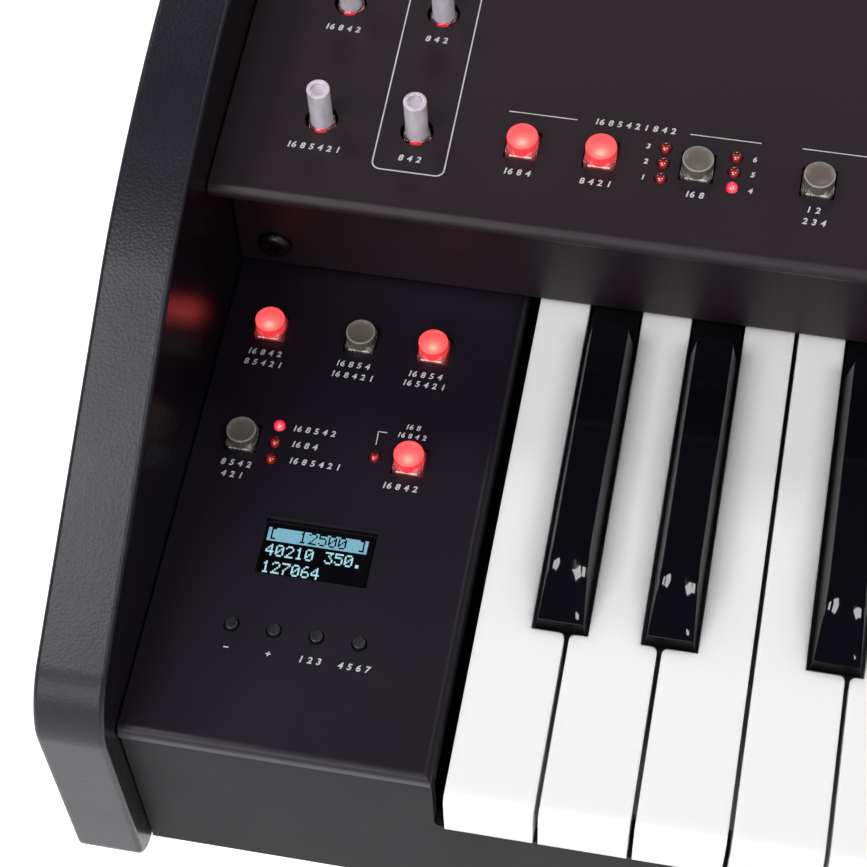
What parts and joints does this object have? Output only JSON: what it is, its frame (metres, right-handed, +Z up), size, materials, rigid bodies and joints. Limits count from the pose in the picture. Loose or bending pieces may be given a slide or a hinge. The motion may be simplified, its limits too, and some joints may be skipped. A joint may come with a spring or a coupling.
{
  "type": "portable drawbar organ",
  "caption": "Slim black portable organ: waterfall manual between sloped cheeks, lit push buttons, clear knobs, drawbars and a small menu display at the bass end.",
  "frame": {"origin": "on the table under the middle of the case", "axes": "+X from the bass end to the treble end, +Y away from the player, +Z up"},
  "size_m": [0.9674, 0.34, 0.1625],
  "materials": {
    "cheek_black": "black lacquer with a fine leather-like grain, satin",
    "case_black": "black powder coat, satin",
    "key_white": "polished white",
    "key_black": "polished black",
    "chassis_steel": "zinc-plated sheet",
    "board_green": "circuit board with solder mask",
    "button_red": "translucent, lit red from inside",
    "button_grey": "translucent, unlit grey",
    "knob_clear": "clear, with a red glow at its foot",
    "bar_brown": "brown",
    "bar_white": "white",
    "bar_black": "black",
    "display_blue": "dark glass with light blue dots",
    "fitting_black": "moulded black",
    "foot_rubber": "soft black"
  },
  "bodies": {
    "case": {"left_cheek": "cheek_black", "right_cheek": "cheek_black", "bottom_pan": "case_black", "back_panel": "case_black", "top_panel": "case_black", "left_console": "case_black", "front_rail": "case_black", "key_chassis": "chassis_steel", "upper_white_keys": "key_white", "upper_black_keys": "key_black", "display_module": "display_blue", "console_board": "board_green", "top_board": "board_green", "main_board": "board_green", "power_inlet": "fitting_black", "foot_front_left": "foot_rubber", "foot_front_right": "foot_rubber", "foot_rear_left": "foot_rubber", "foot_rear_right": "foot_rubber"},
    "assign_knob": {"assign_knob": "knob_clear"},
    "console_button_1": {"console_button_1": "button_red"},
    "console_button_2": {"console_button_2": "button_grey"},
    "console_button_3": {"console_button_3": "button_red"},
    "console_button_4": {"console_button_4": "button_grey"},
    "console_button_5": {"console_button_5": "button_red"},
    "drawbar_1": {"drawbar_1": "bar_brown"},
    "drawbar_2": {"drawbar_2": "bar_brown"},
    "drawbar_3": {"drawbar_3": "bar_white"},
    "drawbar_4": {"drawbar_4": "bar_white"},
    "drawbar_5": {"drawbar_5": "bar_black"},
    "drawbar_6": {"drawbar_6": "bar_white"},
    "drawbar_7": {"drawbar_7": "bar_black"},
    "drawbar_8": {"drawbar_8": "bar_black"},
    "drawbar_9": {"drawbar_9": "bar_white"},
    "drive_knob": {"drive_knob": "knob_clear"},
    "key_a": {"key_a": "key_white"},
    "key_a_sharp": {"key_a_sharp": "key_black"},
    "key_b": {"key_b": "key_white"},
    "key_c": {"key_c": "key_white"},
    "key_c_sharp": {"key_c_sharp": "key_black"},
    "key_d": {"key_d": "key_white"},
    "key_d_sharp": {"key_d_sharp": "key_black"},
    "key_e": {"key_e": "key_white"},
    "key_f": {"key_f": "key_white"},
    "key_f_sharp": {"key_f_sharp": "key_black"},
    "key_g": {"key_g": "key_white"},
    "key_g_sharp": {"key_g_sharp": "key_black"},
    "menu_button_1": {"menu_button_1": "fitting_black"},
    "menu_button_2": {"menu_button_2": "fitting_black"},
    "menu_button_3": {"menu_button_3": "fitting_black"},
    "menu_button_4": {"menu_button_4": "fitting_black"},
    "panel_button_1": {"panel_button_1": "button_red"},
    "panel_button_2": {"panel_button_2": "button_red"},
    "panel_button_3": {"panel_button_3": "button_grey"},
    "panel_button_4": {"panel_button_4": "button_grey"},
    "panel_button_5": {"panel_button_5": "button_grey"},
    "panel_button_6": {"panel_button_6": "button_grey"},
    "power_switch": {"power_switch": "fitting_black"},
    "tone_knob": {"tone_knob": "knob_clear"},
    "volume_knob": {"volume_knob": "knob_clear"}
  },
  "joints": [
    {"name": "assign_knob_turn", "type": "hinge", "parent": "case", "child": "assign_knob", "pos_m": [-0.4407, -0.01211, 0.13672], "axis": [0, -0.0401, 0.9992], "range_deg": [-150, 150]},
    {"name": "console_button_1_slide", "type": "slide", "parent": "case", "child": "console_button_1", "axis": [0, 0, -1], "range_m": [0, 0.0008], "stiffness_N_per_m": 300, "springref_m": -0.001},
    {"name": "console_button_2_slide", "type": "slide", "parent": "case", "child": "console_button_2", "axis": [0, 0, -1], "range_m": [0, 0.0008], "stiffness_N_per_m": 300, "springref_m": -0.001},
    {"name": "console_button_3_slide", "type": "slide", "parent": "case", "child": "console_button_3", "axis": [0, 0, -1], "range_m": [0, 0.0008], "stiffness_N_per_m": 300, "springref_m": -0.001},
    {"name": "console_button_4_slide", "type": "slide", "parent": "case", "child": "console_button_4", "axis": [0, 0, -1], "range_m": [0, 0.0008], "stiffness_N_per_m": 300, "springref_m": -0.001},
    {"name": "console_button_5_slide", "type": "slide", "parent": "case", "child": "console_button_5", "axis": [0, 0, -1], "range_m": [0, 0.0008], "stiffness_N_per_m": 300, "springref_m": -0.001},
    {"name": "drawbar_1_slide", "type": "slide", "parent": "case", "child": "drawbar_1", "axis": [0, -0.9992, -0.0401], "range_m": [0, 0.048]},
    {"name": "drawbar_2_slide", "type": "slide", "parent": "case", "child": "drawbar_2", "axis": [0, -0.9992, -0.0401], "range_m": [0, 0.048]},
    {"name": "drawbar_3_slide", "type": "slide", "parent": "case", "child": "drawbar_3", "axis": [0, -0.9992, -0.0401], "range_m": [0, 0.048]},
    {"name": "drawbar_4_slide", "type": "slide", "parent": "case", "child": "drawbar_4", "axis": [0, -0.9992, -0.0401], "range_m": [0, 0.048]},
    {"name": "drawbar_5_slide", "type": "slide", "parent": "case", "child": "drawbar_5", "axis": [0, -0.9992, -0.0401], "range_m": [0, 0.048]},
    {"name": "drawbar_6_slide", "type": "slide", "parent": "case", "child": "drawbar_6", "axis": [0, -0.9992, -0.0401], "range_m": [0, 0.048]},
    {"name": "drawbar_7_slide", "type": "slide", "parent": "case", "child": "drawbar_7", "axis": [0, -0.9992, -0.0401], "range_m": [0, 0.048]},
    {"name": "drawbar_8_slide", "type": "slide", "parent": "case", "child": "drawbar_8", "axis": [0, -0.9992, -0.0401], "range_m": [0, 0.048]},
    {"name": "drawbar_9_slide", "type": "slide", "parent": "case", "child": "drawbar_9", "axis": [0, -0.9992, -0.0401], "range_m": [0, 0.048]},
    {"name": "drive_knob_turn", "type": "hinge", "parent": "case", "child": "drive_knob", "pos_m": [-0.4158, 0.02596, 0.13825], "axis": [0, -0.0401, 0.9992], "range_deg": [-150, 150]},
    {"name": "key_a_hinge", "type": "hinge", "parent": "case", "child": "key_a", "pos_m": [0, 0.026, 0.069], "axis": [1, 0, 0], "range_deg": [0, 3], "stiffness_Nm_per_rad": 1, "springref_deg": -5.73},
    {"name": "key_a_sharp_hinge", "type": "hinge", "parent": "case", "child": "key_a_sharp", "pos_m": [0, 0.026, 0.069], "axis": [1, 0, 0], "range_deg": [0, 3], "stiffness_Nm_per_rad": 1, "springref_deg": -5.73},
    {"name": "key_b_hinge", "type": "hinge", "parent": "case", "child": "key_b", "pos_m": [0, 0.026, 0.069], "axis": [1, 0, 0], "range_deg": [0, 3], "stiffness_Nm_per_rad": 1, "springref_deg": -5.73},
    {"name": "key_c_hinge", "type": "hinge", "parent": "case", "child": "key_c", "pos_m": [0, 0.026, 0.069], "axis": [1, 0, 0], "range_deg": [0, 3], "stiffness_Nm_per_rad": 1, "springref_deg": -5.73},
    {"name": "key_c_sharp_hinge", "type": "hinge", "parent": "case", "child": "key_c_sharp", "pos_m": [0, 0.026, 0.069], "axis": [1, 0, 0], "range_deg": [0, 3], "stiffness_Nm_per_rad": 1, "springref_deg": -5.73},
    {"name": "key_d_hinge", "type": "hinge", "parent": "case", "child": "key_d", "pos_m": [0, 0.026, 0.069], "axis": [1, 0, 0], "range_deg": [0, 3], "stiffness_Nm_per_rad": 1, "springref_deg": -5.73},
    {"name": "key_d_sharp_hinge", "type": "hinge", "parent": "case", "child": "key_d_sharp", "pos_m": [0, 0.026, 0.069], "axis": [1, 0, 0], "range_deg": [0, 3], "stiffness_Nm_per_rad": 1, "springref_deg": -5.73},
    {"name": "key_e_hinge", "type": "hinge", "parent": "case", "child": "key_e", "pos_m": [0, 0.026, 0.069], "axis": [1, 0, 0], "range_deg": [0, 3], "stiffness_Nm_per_rad": 1, "springref_deg": -5.73},
    {"name": "key_f_hinge", "type": "hinge", "parent": "case", "child": "key_f", "pos_m": [0, 0.026, 0.069], "axis": [1, 0, 0], "range_deg": [0, 3], "stiffness_Nm_per_rad": 1, "springref_deg": -5.73},
    {"name": "key_f_sharp_hinge", "type": "hinge", "parent": "case", "child": "key_f_sharp", "pos_m": [0, 0.026, 0.069], "axis": [1, 0, 0], "range_deg": [0, 3], "stiffness_Nm_per_rad": 1, "springref_deg": -5.73},
    {"name": "key_g_hinge", "type": "hinge", "parent": "case", "child": "key_g", "pos_m": [0, 0.026, 0.069], "axis": [1, 0, 0], "range_deg": [0, 3], "stiffness_Nm_per_rad": 1, "springref_deg": -5.73},
    {"name": "key_g_sharp_hinge", "type": "hinge", "parent": "case", "child": "key_g_sharp", "pos_m": [0, 0.026, 0.069], "axis": [1, 0, 0], "range_deg": [0, 3], "stiffness_Nm_per_rad": 1, "springref_deg": -5.73},
    {"name": "menu_button_1_slide", "type": "slide", "parent": "case", "child": "menu_button_1", "axis": [0, 0, -1], "range_m": [0, 0.0005], "stiffness_N_per_m": 300, "springref_m": -0.001},
    {"name": "menu_button_2_slide", "type": "slide", "parent": "case", "child": "menu_button_2", "axis": [0, 0, -1], "range_m": [0, 0.0005], "stiffness_N_per_m": 300, "springref_m": -0.001},
    {"name": "menu_button_3_slide", "type": "slide", "parent": "case", "child": "menu_button_3", "axis": [0, 0, -1], "range_m": [0, 0.0005], "stiffness_N_per_m": 300, "springref_m": -0.001},
    {"name": "menu_button_4_slide", "type": "slide", "parent": "case", "child": "menu_button_4", "axis": [0, 0, -1], "range_m": [0, 0.0005], "stiffness_N_per_m": 300, "springref_m": -0.001},
    {"name": "panel_button_1_slide", "type": "slide", "parent": "case", "child": "panel_button_1", "axis": [0, 0.0401, -0.9992], "range_m": [0, 0.0008], "stiffness_N_per_m": 300, "springref_m": -0.001},
    {"name": "panel_button_2_slide", "type": "slide", "parent": "case", "child": "panel_button_2", "axis": [0, 0.0401, -0.9992], "range_m": [0, 0.0008], "stiffness_N_per_m": 300, "springref_m": -0.001},
    {"name": "panel_button_3_slide", "type": "slide", "parent": "case", "child": "panel_button_3", "axis": [0, 0.0401, -0.9992], "range_m": [0, 0.0008], "stiffness_N_per_m": 300, "springref_m": -0.001},
    {"name": "panel_button_4_slide", "type": "slide", "parent": "case", "child": "panel_button_4", "axis": [0, 0.0401, -0.9992], "range_m": [0, 0.0008], "stiffness_N_per_m": 300, "springref_m": -0.001},
    {"name": "panel_button_5_slide", "type": "slide", "parent": "case", "child": "panel_button_5", "axis": [0, 0.0401, -0.9992], "range_m": [0, 0.0008], "stiffness_N_per_m": 300, "springref_m": -0.001},
    {"name": "panel_button_6_slide", "type": "slide", "parent": "case", "child": "panel_button_6", "axis": [0, 0.0401, -0.9992], "range_m": [0, 0.0008], "stiffness_N_per_m": 300, "springref_m": -0.001},
    {"name": "power_switch_rock", "type": "hinge", "parent": "case", "child": "power_switch", "pos_m": [0.3807, 0.166, 0.045], "axis": [1, 0, 0], "range_deg": [0, 12]},
    {"name": "tone_knob_turn", "type": "hinge", "parent": "case", "child": "tone_knob", "pos_m": [-0.4158, -0.01211, 0.13672], "axis": [0, -0.0401, 0.9992], "range_deg": [-150, 150]},
    {"name": "volume_knob_turn", "type": "hinge", "parent": "case", "child": "volume_knob", "pos_m": [-0.4407, 0.02596, 0.13825], "axis": [0, -0.0401, 0.9992], "range_deg": [-150, 150]}
  ]
}
